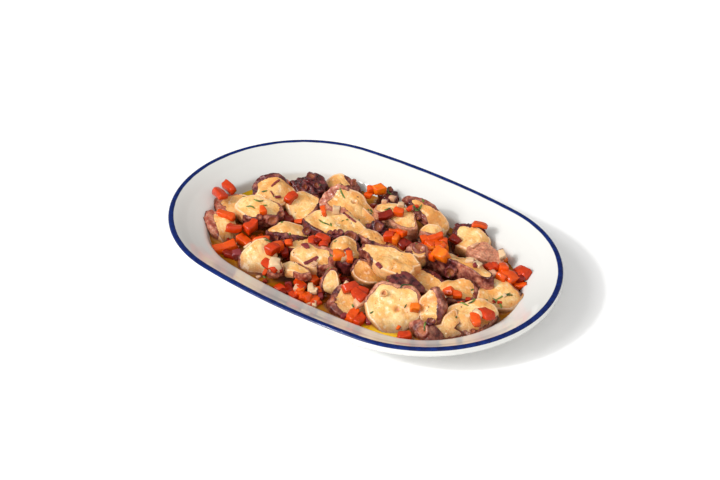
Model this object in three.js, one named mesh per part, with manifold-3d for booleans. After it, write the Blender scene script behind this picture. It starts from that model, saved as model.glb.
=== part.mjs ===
// Marinated octopus on an oval platter: slices of cooked arm heaped in oil with diced pepper and onion.
// Millimetres, +Z up. The origin is on the table under the platter's centre, +X is its long axis.

import * as THREE from 'three';
import { mergeVertices } from 'three/addons/utils/BufferGeometryUtils.js';
import Module from 'manifold-3d';

const wasm = await Module();
wasm.setup();

// Driving dimensions of the platter.
const halfLength = 160;
const halfWidth = 105;
const endRadius = 101.5;
const platterHeight = 28;
const wellFloor = 4;
const oilLevel = 8.9;

// Gap kept between neighbouring solids, and how many sides the outlines have.
const gap = 0.35;
const platterSides = 40;
const suckerSides = 6;

const degrees = Math.PI / 180;
const up = new THREE.Vector3(0, 0, 1);

// Colour, roughness and metalness of each kind of piece.
const finishes = {
  porcelain: [0xf2f0ea, 0.12, 0],
  oil: [0xc9881c, 0.05, 0],
  flesh: [0xebcf9c, 0.35, 0],
  skin: [0x8a4550, 0.35, 0],
  pepper: [0xd63a1a, 0.25, 0],
  orangePepper: [0xee7a1c, 0.25, 0],
};

// The heap, from its left end to its right. Each piece: name, finish, centre x, y, z, half length, half
// width, thickness, turn of its length about Z, the way its upper face leans and by how many degrees,
// how square its edge is (1 for a cut slice, 0 for a rounded lump), and the directions of its suckers.
const octopus = [
  ['octopus_01', 'flesh', -110, -37, 11, 20, 12, 13, -10, -52, 15, 0.9, []],
  ['octopus_02', 'flesh', -122, -12, 12, 19, 14, 14, 10, -52, 5, 0.9, []],
  ['octopus_03', 'flesh', -91, -10, 20, 18, 13, 12, 30, -52, 12, 0.9, [-80, -110]],
  ['octopus_04', 'flesh', -102, 17, 17, 18, 15, 15, 38, -52, 28, 0.9, []],
  ['octopus_05', 'flesh', -70, 17, 15, 17, 14, 13, 100, -52, 15, 0.9, []],
  ['octopus_06', 'skin', -83, 40, 19, 14, 10, 17, 30, -52, 10, 0.3, [-110, -60, -10]],
  ['octopus_07', 'flesh', -67, 58, 14, 15, 9, 16, 20, -52, 20, 0.8, []],
  ['octopus_08', 'flesh', -40, 36, 24, 23, 14, 13, 15, -52, 12, 0.8, []],
  ['octopus_09', 'skin', -29, 70, 12, 9, 6, 16, 0, -52, 0, 0.3, []],
  ['octopus_10', 'flesh', -29, 4, 23, 24, 14, 13, 15, -52, 8, 0.9, [-60, -95, -130]],
  ['octopus_11', 'flesh', -29, 29, 13, 18, 12, 16, 0, -52, 6, 0.8, []],
  ['octopus_12', 'skin', 1, 42, 21, 20, 10, 14, -2, -52, 20, 0.4, []],
  ['octopus_13', 'flesh', 18, 56, 26, 16, 12, 10, 20, -40, 55, 0.8, []],
  ['octopus_14', 'flesh', 56, 60, 15, 15, 12, 17, 20, -52, 20, 0.8, []],
  ['octopus_15', 'flesh', 77, 50, 14, 15, 10, 17, 0, -52, 15, 0.8, []],
  ['octopus_16', 'skin', 79, 22, 19, 29, 9, 14, 2, -52, 15, 0.4, []],
  ['octopus_17', 'flesh', 36, -14, 26, 26, 13, 12, 4, -52, 12, 0.9, []],
  ['octopus_18', 'flesh', 22, -20, 15, 14, 11, 12, 10, -52, 40, 0.8, []],
  ['octopus_19', 'flesh', 6, -46, 18, 9, 6, 11, 128, -52, 60, 0.8, []],
  ['octopus_20', 'flesh', -63, -51, 11, 15, 13, 10, 38, -52, 40, 0.9, []],
  ['octopus_21', 'flesh', -20, -34, 20, 18, 13, 12, 20, -52, 12, 0.9, []],
  ['octopus_22', 'flesh', -4, -15, 19, 16, 12, 14, 5, -52, 10, 0.9, []],
  ['octopus_23', 'skin', -55, -17, 17, 16, 8, 14, 25, -52, 15, 0.4, [-90, -50, -130]],
  ['octopus_24', 'flesh', -38, -18, 12, 20, 15, 13, 20, -52, 4, 0.9, []],
  ['octopus_25', 'flesh', 63, -45, 19, 21, 19, 11, 38, -52, 38, 0.9, []],
  ['octopus_26', 'skin', 55, -21, 20, 14, 7, 13, 10, -52, 20, 0.4, []],
  ['octopus_27', 'flesh', 87, -28, 20, 15, 10, 12, 128, -85, 60, 0.9, []],
  ['octopus_28', 'flesh', 103, -34, 12, 13, 9, 10, 70, -52, 45, 0.7, []],
  ['octopus_29', 'flesh', 111, -16, 13, 19, 16, 11, 60, -52, 28, 0.9, []],
  ['octopus_30', 'flesh', 114, 18, 12, 21, 15, 12, 25, -52, 12, 0.9, []],
  ['octopus_31', 'flesh', 85, 2, 14, 16, 11, 15, 10, -52, 12, 0.9, []],
  ['octopus_32', 'skin', 94, -46, 11, 13, 8, 12, 10, -52, 25, 0.4, [-90]],
  ['octopus_33', 'flesh', 30, -54, 13, 17, 12, 13, 20, -52, 25, 0.8, []],
  ['octopus_34', 'skin', 60, -2, 12, 18, 12, 14, 0, -52, 6, 0.6, []],
  ['octopus_35', 'skin', 42, 13, 22, 9, 7, 13, 30, -52, 20, 0.5, []],
  ['octopus_36', 'flesh', 24, 12, 13, 20, 13, 16, 15, -52, 6, 0.9, []],
  ['octopus_37', 'flesh', 4, 9, 21, 12, 7, 10, 5, -52, 10, 0.5, []],
  ['octopus_38', 'skin', -3, 23, 20, 9, 7, 13, 20, -52, 10, 0.3, [-90]],
  ['octopus_39', 'flesh', 34, 41, 24, 8, 6, 9, 20, -52, 20, 0.6, []],
  ['octopus_40', 'skin', -22, -53, 17, 12, 8, 12, 20, -52, 15, 0.6, []],
  ['octopus_41', 'flesh', -36, -60, 15, 7, 6, 9, 38, -52, 20, 0.9, []],
];

// Diced pepper and onion large enough to be pieces of their own, in the same order of values.
const vegetables = [
  ['pepper_01', 'pepper', -128, -16, 21, 5, 4, 10, 60, -52, 35, 0.9, []],
  ['pepper_02', 'pepper', -128, -4, 21, 5, 4, 9, 60, -52, 35, 0.9, []],
  ['pepper_03', 'pepper', -108, -30, 19, 8, 4, 6, -10, -52, 20, 0.9, []],
  ['pepper_04', 'pepper', -94, -38, 18, 7, 4, 6, -10, -52, 20, 0.9, []],
  ['pepper_05', 'pepper', -84, -30, 18, 6, 5, 7, 50, -52, 20, 0.9, []],
  ['pepper_06', 'pepper', -89, -55, 9, 9, 5, 9, 40, -52, 20, 0.9, []],
  ['pepper_07', 'pepper', -52, -38, 17, 7, 6, 8, 0, -52, 20, 0.9, []],
  ['pepper_08', 'orangePepper', -33, 61, 25, 6, 5, 8, 20, -52, 20, 0.9, []],
  ['pepper_09', 'pepper', -25, -19, 25, 8, 7, 7, 20, -52, 20, 0.6, []],
  ['pepper_10', 'orangePepper', 18, 18, 26, 8, 7, 9, 20, -52, 20, 0.6, []],
  ['pepper_11', 'orangePepper', 44, 30, 24, 11, 9, 10, 30, -52, 20, 0.6, []],
  ['pepper_12', 'pepper', 1, 45, 30, 8, 5, 7, 15, -52, 20, 0.9, []],
  ['pepper_13', 'pepper', 101, 36, 19, 12, 9, 9, 10, -52, 20, 0.6, []],
  ['pepper_14', 'pepper', 114, 45, 13, 11, 8, 14, 60, -52, 10, 0.5, []],
  ['pepper_15', 'pepper', 122, -19, 22, 9, 7, 6, 40, -52, 20, 0.9, []],
  ['pepper_16', 'pepper', 43, -62, 10, 11, 8, 9, 20, -52, 20, 0.6, []],
  ['pepper_17', 'pepper', -6, -62, 10, 16, 8, 9, 5, -52, 10, 0.4, []],
];

// The point at a share of one turn round an oval of four arcs, moved inward by inset. The arcs at the
// ends and the flatter ones along the sides meet where they run the same way.
function ovalPoint(share, inset) {
  const sideRadius = ((halfLength - endRadius) ** 2 + halfWidth ** 2 - endRadius ** 2)
    / (2 * (halfWidth - endRadius));
  const endCentre = halfLength - endRadius;
  const sideCentre = sideRadius - halfWidth;
  const joint = Math.atan2(sideCentre, endCentre);
  const quarter = Math.floor(share * 4) % 4;
  const endLength = joint * endRadius;
  const sideLength = (Math.PI / 2 - joint) * sideRadius;
  const along = (share * 4 - Math.floor(share * 4));
  const mirrored = quarter % 2 === 1;
  const travelled = (mirrored ? 1 - along : along) * (endLength + sideLength);
  const onEnd = travelled < endLength;
  const angle = onEnd ? travelled / endRadius : joint + (travelled - endLength) / sideRadius;
  const radius = (onEnd ? endRadius : sideRadius) - inset;
  const x = (onEnd ? endCentre : 0) + radius * Math.cos(angle);
  const y = (onEnd ? 0 : -sideCentre) + radius * Math.sin(angle);
  const signX = quarter === 1 || quarter === 2 ? -1 : 1;
  const signY = quarter >= 2 ? -1 : 1;
  return [x * signX, y * signY];
}

// Solid between stacked outlines, each an inset from the rim and a height, from the underside's middle to
// the upper side's middle.
function loft(profile) {
  const positions = [0, 0, profile[0][1]];
  for (const [inset, height] of profile) {
    for (let side = 0; side < platterSides; side += 1) {
      const [x, y] = ovalPoint(side / platterSides, inset);
      positions.push(x, y, height);
    }
  }
  positions.push(0, 0, profile.at(-1)[1]);
  return stack(positions, profile.length, platterSides);
}

// Closed surface through rings of equal count, with a point before the first and after the last.
function stack(positions, rings, sides) {
  const index = [];
  const last = 1 + rings * sides;
  for (let side = 0; side < sides; side += 1) {
    const next = (side + 1) % sides;
    index.push(0, 1 + next, 1 + side);
    for (let ring = 0; ring < rings - 1; ring += 1) {
      const low = 1 + ring * sides;
      const high = low + sides;
      index.push(low + side, low + next, high + next);
      index.push(low + side, high + next, high + side);
    }
    index.push(last, last - sides + side, last - sides + next);
  }
  const geometry = new THREE.BufferGeometry();
  geometry.setAttribute('position', new THREE.Float32BufferAttribute(positions, 3));
  geometry.setIndex(index);
  return geometry;
}

function toSolid(geometry) {
  const bare = geometry.clone();
  bare.deleteAttribute('normal');
  bare.deleteAttribute('uv');
  const merged = mergeVertices(bare, 1e-4);
  return new wasm.Manifold(new wasm.Mesh({
    numProp: 3,
    vertProperties: new Float32Array(merged.attributes.position.array),
    triVerts: new Uint32Array(merged.index.array),
  }));
}

function toGeometry(solid) {
  const mesh = solid.getMesh();
  const geometry = new THREE.BufferGeometry();
  const positions = new Float32Array(mesh.numVert * 3);
  for (let vertex = 0; vertex < mesh.numVert; vertex += 1) {
    for (let axis = 0; axis < 3; axis += 1) {
      positions[vertex * 3 + axis] = mesh.vertProperties[vertex * mesh.numProp + axis];
    }
  }
  geometry.setAttribute('position', new THREE.BufferAttribute(positions, 3));
  geometry.setIndex([...mesh.triVerts]);
  return geometry;
}

// How far the outline of a piece swells in a direction: three slow waves whose start differs from
// piece to piece.
function swell(direction, seed) {
  return 1 + 0.07 * Math.cos(2 * direction + seed * 2.4)
    + 0.06 * Math.cos(3 * direction + seed * 1.7)
    + 0.04 * Math.cos(5 * direction + seed * 3.1);
}

// One piece lying flat about the origin: an uneven outline, cut faces that meet its skin in a rounded
// edge, the whole slightly arched. A blunt one has square edges, and holds the rounded one.
function pieceGeometry(piece, seed, sides, grow, blunt) {
  const [, , , , , halfA, halfB, thick, , , , square] = piece;
  const half = thick / 2;
  const flat = 0.45 + 0.35 * square;
  const rounded = [[flat, -1], [1, -0.35], [0.98, 0.4], [flat, 1]];
  const levels = blunt ? [[1, -1], [1, 1]] : rounded;
  const positions = [0, 0, -half - grow];
  for (const [reach, level] of levels) {
    for (let side = 0; side < sides; side += 1) {
      const direction = side / sides * 2 * Math.PI;
      const wave = swell(direction, seed) * reach;
      const x = halfA * wave * Math.cos(direction);
      const y = halfB * wave * Math.sin(direction);
      const length = Math.hypot(x, y);
      const arch = 0.12 * thick * (1 - 2 * (x / halfA) ** 2) - 0.12 * thick;
      positions.push(x + grow * x / length, y + grow * y / length, level * (half + grow) + arch * reach);
    }
  }
  positions.push(0, 0, half + grow);
  return stack(positions, levels.length, sides);
}

// A short round sucker standing on the skin, pointing outward in one direction.
function suckerGeometry(piece, seed, direction, grow) {
  const [, , , , , halfA, halfB, thick] = piece;
  const radius = 0.2 * thick + grow;
  const standing = 0.12 * thick + grow;
  const rooted = 0.25 * thick;
  const angle = direction * degrees;
  const reach = swell(angle, seed);
  const x = halfA * reach * Math.cos(angle);
  const y = halfB * reach * Math.sin(angle);
  const outward = new THREE.Vector3(Math.cos(angle) / halfA, Math.sin(angle) / halfB, 0).normalize();
  const geometry = new THREE.CylinderGeometry(radius, radius * 0.8, standing + rooted, suckerSides);
  geometry.translate(0, (standing - rooted) / 2, 0);
  geometry.applyQuaternion(new THREE.Quaternion().setFromUnitVectors(new THREE.Vector3(0, 1, 0), outward));
  geometry.translate(x, y, -0.05 * thick);
  return geometry;
}

// A piece where it lies in the heap. With grow it is the space that its neighbours keep clear of.
function placedSolid(piece, seed, sides, grow, blunt) {
  const [, , x, y, z, , , , turn, leanTo, lean, , suckers] = piece;
  let solid = toSolid(pieceGeometry(piece, seed, sides, grow, blunt));
  for (const direction of suckers) {
    solid = solid.add(toSolid(suckerGeometry(piece, seed, direction, grow)));
  }
  const leanAxis = new THREE.Vector3(-Math.sin(leanTo * degrees), Math.cos(leanTo * degrees), 0);
  const tilt = new THREE.Quaternion().setFromAxisAngle(leanAxis, lean * degrees);
  const rotation = tilt.multiply(new THREE.Quaternion().setFromAxisAngle(up, turn * degrees));
  const place = new THREE.Matrix4().compose(new THREE.Vector3(x, y, z), rotation, new THREE.Vector3(1, 1, 1));
  return solid.transform(place.elements);
}

function largestBody(solid) {
  return solid.decompose().sort((one, other) => other.volume() - one.volume())[0];
}

// The platter's section, as inset from the rim and height, from the recess inside its foot outward,
// round the rim and back down the lip and the well's wall to its floor.
const platterProfile = [
  [40, 1], [39, 0], [35.5, 0], [34, 3], [26, 9], [3.5, 19.6], [0.3, 21.6],
  [0, 26.4], [1.6, platterHeight], [4.5, 27.2], [14, 21.8], [25, 16.6], [28.2, 14.6], [30.6, 9.6],
  [33, 5.4], [36.4, wellFloor],
];

// The oil fills the well up to its level, clear of the platter by the gap.
const oilProfile = [[36.9, wellFloor + gap], [33.5, 5.7], [31.4, oilLevel]];

function named(name, finish, solid) {
  const [color, roughness, metalness] = finishes[finish];
  const material = new THREE.MeshStandardMaterial({ color, roughness, metalness });
  const mesh = new THREE.Mesh(toGeometry(solid), material);
  mesh.name = name;
  return mesh;
}

const group = new THREE.Group();
const platter = toSolid(loft(platterProfile));
group.add(named('platter', 'porcelain', platter));

// The platter's own clearance: its upper side raised by the gap.
const clearPlatter = platter.add(platter.translate([0, 0, gap]));

// The heap is laid from the lowest piece up, and each piece rests on those already there.
const heap = [
  ...octopus.map((piece, place) => ({ piece, seed: place + 1 })),
  ...vegetables.map((piece, place) => ({ piece, seed: place + 1 })),
].sort((one, other) => one.piece[4] - other.piece[4]);

const laid = [];
let oil = toSolid(loft(oilProfile));
for (const { piece, seed } of heap) {
  const sides = Math.round(5 + piece[5] / 4.5);
  let solid = placedSolid(piece, seed, sides, 0, false).subtract(clearPlatter);
  for (const lower of laid) {
    solid = solid.subtract(lower);
  }
  group.add(named(piece[0], piece[1], largestBody(solid)));
  laid.push(placedSolid(piece, seed, sides, gap, false));
  oil = oil.subtract(placedSolid(piece, seed, sides, gap, true));
}
group.add(named('oil', 'oil', largestBody(oil)));

export default group;
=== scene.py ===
import math

import bpy
import numpy as np
from mathutils import Matrix, Vector
from mathutils.bvhtree import BVHTree


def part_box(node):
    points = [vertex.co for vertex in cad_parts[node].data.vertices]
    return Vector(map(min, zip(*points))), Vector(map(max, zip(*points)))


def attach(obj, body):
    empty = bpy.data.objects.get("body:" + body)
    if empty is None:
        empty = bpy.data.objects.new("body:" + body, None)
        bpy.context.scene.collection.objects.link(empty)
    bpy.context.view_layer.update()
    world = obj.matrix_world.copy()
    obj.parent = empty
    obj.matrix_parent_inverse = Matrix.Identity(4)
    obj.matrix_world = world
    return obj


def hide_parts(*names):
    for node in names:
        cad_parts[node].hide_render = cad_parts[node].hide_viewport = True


# Marinated octopus on an oval platter. Lengths are in metres unless a note says mm.

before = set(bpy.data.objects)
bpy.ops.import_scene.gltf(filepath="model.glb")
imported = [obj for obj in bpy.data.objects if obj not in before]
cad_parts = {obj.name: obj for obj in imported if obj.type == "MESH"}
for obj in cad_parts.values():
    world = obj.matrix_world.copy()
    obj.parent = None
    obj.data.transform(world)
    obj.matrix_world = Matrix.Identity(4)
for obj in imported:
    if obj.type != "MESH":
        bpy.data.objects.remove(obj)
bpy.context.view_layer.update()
mm = 0.001
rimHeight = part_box("platter")[1].z


# A node's output that takes part in Python expressions: each operator adds its Math node
class Wire:
    def __init__(self, finish, socket):
        self.finish, self.socket = finish, socket

    def maths(self, operation, *values):
        node = self.finish.add("ShaderNodeMath", {"operation": operation}, dict(enumerate(values)))
        return Wire(self.finish, node.outputs[0])

    def __add__(self, other):
        return self.maths("ADD", self, other)

    def __sub__(self, other):
        return self.maths("SUBTRACT", self, other)

    def __rsub__(self, other):
        return self.maths("SUBTRACT", other, self)

    def __mul__(self, other):
        return self.maths("MULTIPLY", self, other)

    __radd__, __rmul__ = __add__, __mul__

    # 0 up to low, 1 from high, smooth between
    def over(self, low, high):
        node = self.finish.add("ShaderNodeMapRange", {"interpolation_type": "SMOOTHSTEP"},
                               {"Value": self, "From Min": low, "From Max": high})
        return Wire(self.finish, node.outputs[0])

    # 1 where the value is near the middle, falling to 0 a width away on each side
    def line(self, middle, width):
        return self.over(middle - width, middle) * (1 - self.over(middle, middle + width))


# One material. Its own constants go straight on the Principled shader
class Finish:
    def __init__(self, name, **constants):
        self.material = bpy.data.materials.new(name)
        self.material.use_nodes = True
        self.tree = self.material.node_tree
        self.tree.nodes.clear()
        self.shader = self.add("ShaderNodeBsdfPrincipled", {}, constants)
        self.add("ShaderNodeOutputMaterial", {}, {"Surface": self.shader.outputs[0]})
        self.place = self.add("ShaderNodeTexCoord").outputs["Object"]

    def add(self, kind, settings=None, inputs=None):
        node = self.tree.nodes.new(kind)
        for key, value in (settings or {}).items():
            setattr(node, key, value)
        for key, value in (inputs or {}).items():
            self.feed(node, key, value)
        return node

    def feed(self, node, key, value):
        socket = node.inputs[key.replace("_", " ") if isinstance(key, str) else key]
        if isinstance(value, Wire):
            value = value.socket
        if isinstance(value, bpy.types.NodeSocket):
            self.tree.links.new(value, socket)
        elif isinstance(value, tuple) and len(value) == 3 and socket.type == "RGBA":
            socket.default_value = (*value, 1.0)
        else:
            socket.default_value = value

    # size is the width of the blotches in metres
    def noise(self, size, detail=2.0, rough=0.5):
        node = self.add("ShaderNodeTexNoise", {}, {"Vector": self.place, "Scale": 1 / size,
                                                   "Detail": detail, "Roughness": rough})
        return Wire(self, node.outputs[0])

    def cells(self, size):
        node = self.add("ShaderNodeTexVoronoi", {}, {"Vector": self.place, "Scale": 1 / size})
        return Wire(self, node.outputs["Distance"])

    def value(self, name):
        return Wire(self, self.add("ShaderNodeAttribute", {"attribute_name": name}).outputs["Fac"])

    def blend(self, share, low, high):
        return self.add("ShaderNodeMix", {"data_type": "RGBA"}, {0: share, 6: low, 7: high}).outputs[2]

    # Colours laid over the first, each by its share
    def layer(self, colour, *tints):
        for share, tint in tints:
            colour = self.blend(share, colour, tint)
        return colour

    def bump(self, height, distance, strength=1.0):
        return self.add("ShaderNodeBump", {}, {"Height": height, "Distance": distance,
                                               "Strength": strength}).outputs[0]

    def show(self, **sockets):
        for key, value in sockets.items():
            self.feed(self.shader, key, value)
        return self.material


# Smooth noise of about -1 to 1: the sum of sine waves about one size long, in random directions
def waves(points, size, seed, count=14):
    rng = np.random.default_rng(seed)
    ways = rng.normal(size=(count, 3))
    ways /= np.linalg.norm(ways, axis=1)[:, None] * size * rng.uniform(0.75, 1.6, count)[:, None]
    phases = rng.uniform(0, 2 * np.pi, count)
    return np.sin(points @ ways.T * 2 * np.pi + phases).sum(-1) / math.sqrt(count)


# Octopus nodes go by their number in the tables, and all others by name
def nodeName(key):
    return key if isinstance(key, str) else f"octopus_{key:02d}"


def nodeMiddle(node):
    low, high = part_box(node)
    return (low + high) / 2


def smooth(value):
    value = np.clip(value, 0, 1)
    return value * value * (3 - 2 * value)


# A grid that wraps round, with a pole before its first row and after its last
def closedFaces(rows, columns):
    ring = 1 + np.arange(rows * columns).reshape(rows, columns)
    after = np.roll(ring, -1, axis=1)
    quads = np.stack([ring[:-1], ring[1:], after[1:], after[:-1]], -1).reshape(-1, 4)
    top = np.stack([np.zeros(columns, int), ring[0], after[0]], -1)
    end = np.stack([ring[-1], np.full(columns, rows * columns + 1), after[-1]], -1)
    return quads.tolist() + top.tolist() + end.tolist()


# The normals of a grid whose rows run outward and whose columns run anticlockwise
def gridNormals(points):
    along = np.gradient(points, axis=0)
    across = np.roll(points, -1, axis=1) - np.roll(points, 1, axis=1)
    normal = np.cross(along, across)
    return normal / (np.linalg.norm(normal, axis=-1, keepdims=True) + 1e-12)


# The grid's points or values as one list, with the mean of its end rows as poles
def withPoles(grid):
    flat = grid.reshape(grid.shape[0] * grid.shape[1], *grid.shape[2:])
    return np.concatenate([grid[:1].mean(1), flat, grid[-1:].mean(1)])


def unitRows(vectors):
    return vectors / np.linalg.norm(vectors, axis=1)[:, None]


# The way seen from above and the rise above level, both in degrees, as a unit vector
def direction(way, rise=0):
    way, rise = math.radians(way), math.radians(rise)
    return Vector((math.cos(way) * math.cos(rise), math.sin(way) * math.cos(rise), math.sin(rise)))


def placed(name, data):
    thing = bpy.data.objects.new(name, data)
    bpy.context.scene.collection.objects.link(thing)
    return thing


def addPiece(name, points, faces, finish, values=None, replaces=()):
    shape = bpy.data.meshes.new(name)
    shape.from_pydata(points, [], faces)
    for key, numbers in (values or {}).items():
        shape.attributes.new(key, "FLOAT", "POINT").data.foreach_set("value", np.ravel(numbers))
    shape.polygons.foreach_set("use_smooth", np.ones(len(shape.polygons), bool))
    shape.materials.append(finish)
    shape.update()
    piece = placed(name, shape)
    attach(piece, "root")
    if replaces:
        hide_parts(*replaces)
    return piece


platter = {
    "endRadius": 0.1015,      # of the oval's ends
    "band": 0.0043,           # width of the blue line
    "bandEdge": 0.00025,      # over which it fades on each side
    "outerGrowth": 3.2,       # how much faster the inset grows down the outer wall
    "rows": 190, "columns": 288,
    # the section: inset from the rim and height, from the middle of the underside round to the well, in mm
    "section": [(40.0, 1.0), (39.5, 0.9), (39.0, 0.3), (38.6, 0.0), (35.9, 0.0), (35.5, 0.3), (34.9, 1.6),
                (34.0, 3.0), (26.0, 9.0), (14.0, 14.9), (4.5, 19.3), (1.8, 20.6), (0.5, 21.6), (0.1, 23.0),
                (0.0, 26.0), (0.15, 27.0), (0.7, 27.7), (1.6, 28.0), (2.8, 27.95), (4.5, 27.3), (8.0, 25.4),
                (14.0, 21.9), (20.0, 18.9), (25.0, 16.6), (27.2, 15.5), (28.4, 14.4), (29.4, 12.4), (30.7, 9.4),
                (32.0, 7.0), (33.4, 5.3), (35.0, 4.4), (37.0, 4.0), (42.0, 4.0), (60.0, 4.0)],
}


# The outline's half length and half width, its end and side radii, and the angle at which the arcs meet
def outlineArcs():
    low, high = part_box("platter")
    length, width, end = (high.x - low.x) / 2, (high.y - low.y) / 2, platter["endRadius"]
    side = ((length - end) ** 2 + width ** 2 - end ** 2) / (2 * (width - end))
    return length, width, end, side, math.atan2(side - width, length - end)


# An oval of four arcs, moved inward by each inset: points at equal shares of the way round, on the end arcs
# near the long axis and on the flatter side arcs elsewhere
def ovalPoints(inset, count):
    length, width, end, side, joint = outlineArcs()
    endLength, sideLength = joint * end, (math.pi / 2 - joint) * side
    share = np.arange(count) / count * 4
    quarter = share.astype(int)
    along = np.where(quarter % 2 == 1, 1 - (share - quarter), share - quarter) * (endLength + sideLength)
    onEnd = along < endLength
    angle = np.where(onEnd, along / end, joint + (along - endLength) / side)
    radius = np.where(onEnd, end, side) - np.asarray(inset)[..., None]
    x = np.where(onEnd, length - end, 0.0) + radius * np.cos(angle)
    y = np.where(onEnd, 0.0, width - side) + radius * np.sin(angle)
    signX = np.where((quarter == 1) | (quarter == 2), -1, 1)
    signY = np.where(quarter >= 2, -1, 1)
    return np.stack([x * signX, y * signY], -1)


# Points lifted to where they would otherwise pass into the platter: its upper side's height at their inset
def abovePlatter(points, gap=0.0003):
    length, width, end, side, joint = outlineArcs()
    x, y = np.abs(points[..., 0]), np.abs(points[..., 1])
    onEnd = np.arctan2(y, x - (length - end)) < joint
    inset = np.where(onEnd, end - np.hypot(x - (length - end), y), side - np.hypot(x, y - (width - side)))
    section = np.array(platter["section"]) * mm
    upper = section[np.argmax(section[:, 1]):]
    lifted = points.copy()
    lifted[..., 2] = np.maximum(points[..., 2], np.interp(inset, upper[:, 0], upper[:, 1]) + gap)
    return lifted


# A curve through the section's corners, rounded by two passes of a short average along its length
def smoothSection(section, count):
    corners = np.array(section) * mm
    steps = np.concatenate([[0], np.cumsum(np.linalg.norm(np.diff(corners, axis=0), axis=1))])
    places = np.linspace(0, steps[-1], count)
    curve = np.stack([np.interp(places, steps, corners[:, k]) for k in (0, 1)], -1)
    for _ in range(2):
        curve[1:-1] = (curve[:-2] + 2 * curve[1:-1] + curve[2:]) / 4
    return curve


# The section's curve swept round the oval: a point is the oval at the section's inset, at the section's height
def makePlatter():
    curve = smoothSection(platter["section"], platter["rows"])
    rows = ovalPoints(curve[:, 0], platter["columns"])
    points = np.concatenate([rows, np.broadcast_to(curve[:, 1, None, None], (*rows.shape[:2], 1))], -1)
    # the line starts just over the rim's outer edge, so its inset is counted from there along the section
    peak = np.argmax(curve[:, 1])
    outer = np.arange(len(curve)) < peak
    belowRim = (curve[:, 1].max() - curve[:, 1]) * platter["outerGrowth"]
    inset = np.where(outer, belowRim, curve[:, 0])[:, None] * np.ones(platter["columns"])
    finish = Finish("glazedPorcelain", Coat_Roughness=0.03, Specular_IOR_Level=0.22)
    fine = finish.noise(0.0015, 2)
    broad = finish.noise(0.06, 1)
    edge = finish.value("inset") + (finish.noise(0.012, 2) - 0.5) * 0.0007
    line = 1 - edge.over(platter["band"] - platter["bandEdge"], platter["band"] + platter["bandEdge"])
    glaze = finish.blend(broad, (0.685, 0.68, 0.65), (0.715, 0.71, 0.68))
    navy = finish.blend(finish.noise(0.004, 3).over(0.3, 0.75), (0.0012, 0.008, 0.075), (0.002, 0.019, 0.15))
    finish.show(Base_Color=finish.blend(line, glaze, navy), Coat_Weight=(1 - line) * 0.4,
                Roughness=fine * 0.04 + 0.08, Normal=finish.bump(broad, 0.0004, 0.25))
    # the section runs from the underside outward and back in, so the faces are wound the other way
    faces = [face[::-1] for face in closedFaces(*points.shape[:2])]
    addPiece("platterGlazed", withPoles(points), faces, finish.material,
             {"inset": withPoles(inset[..., None])}, ["platter"])
    print("platter made")


# Most cut faces lean this way, in degrees about Z
faceWay = -52
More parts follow.
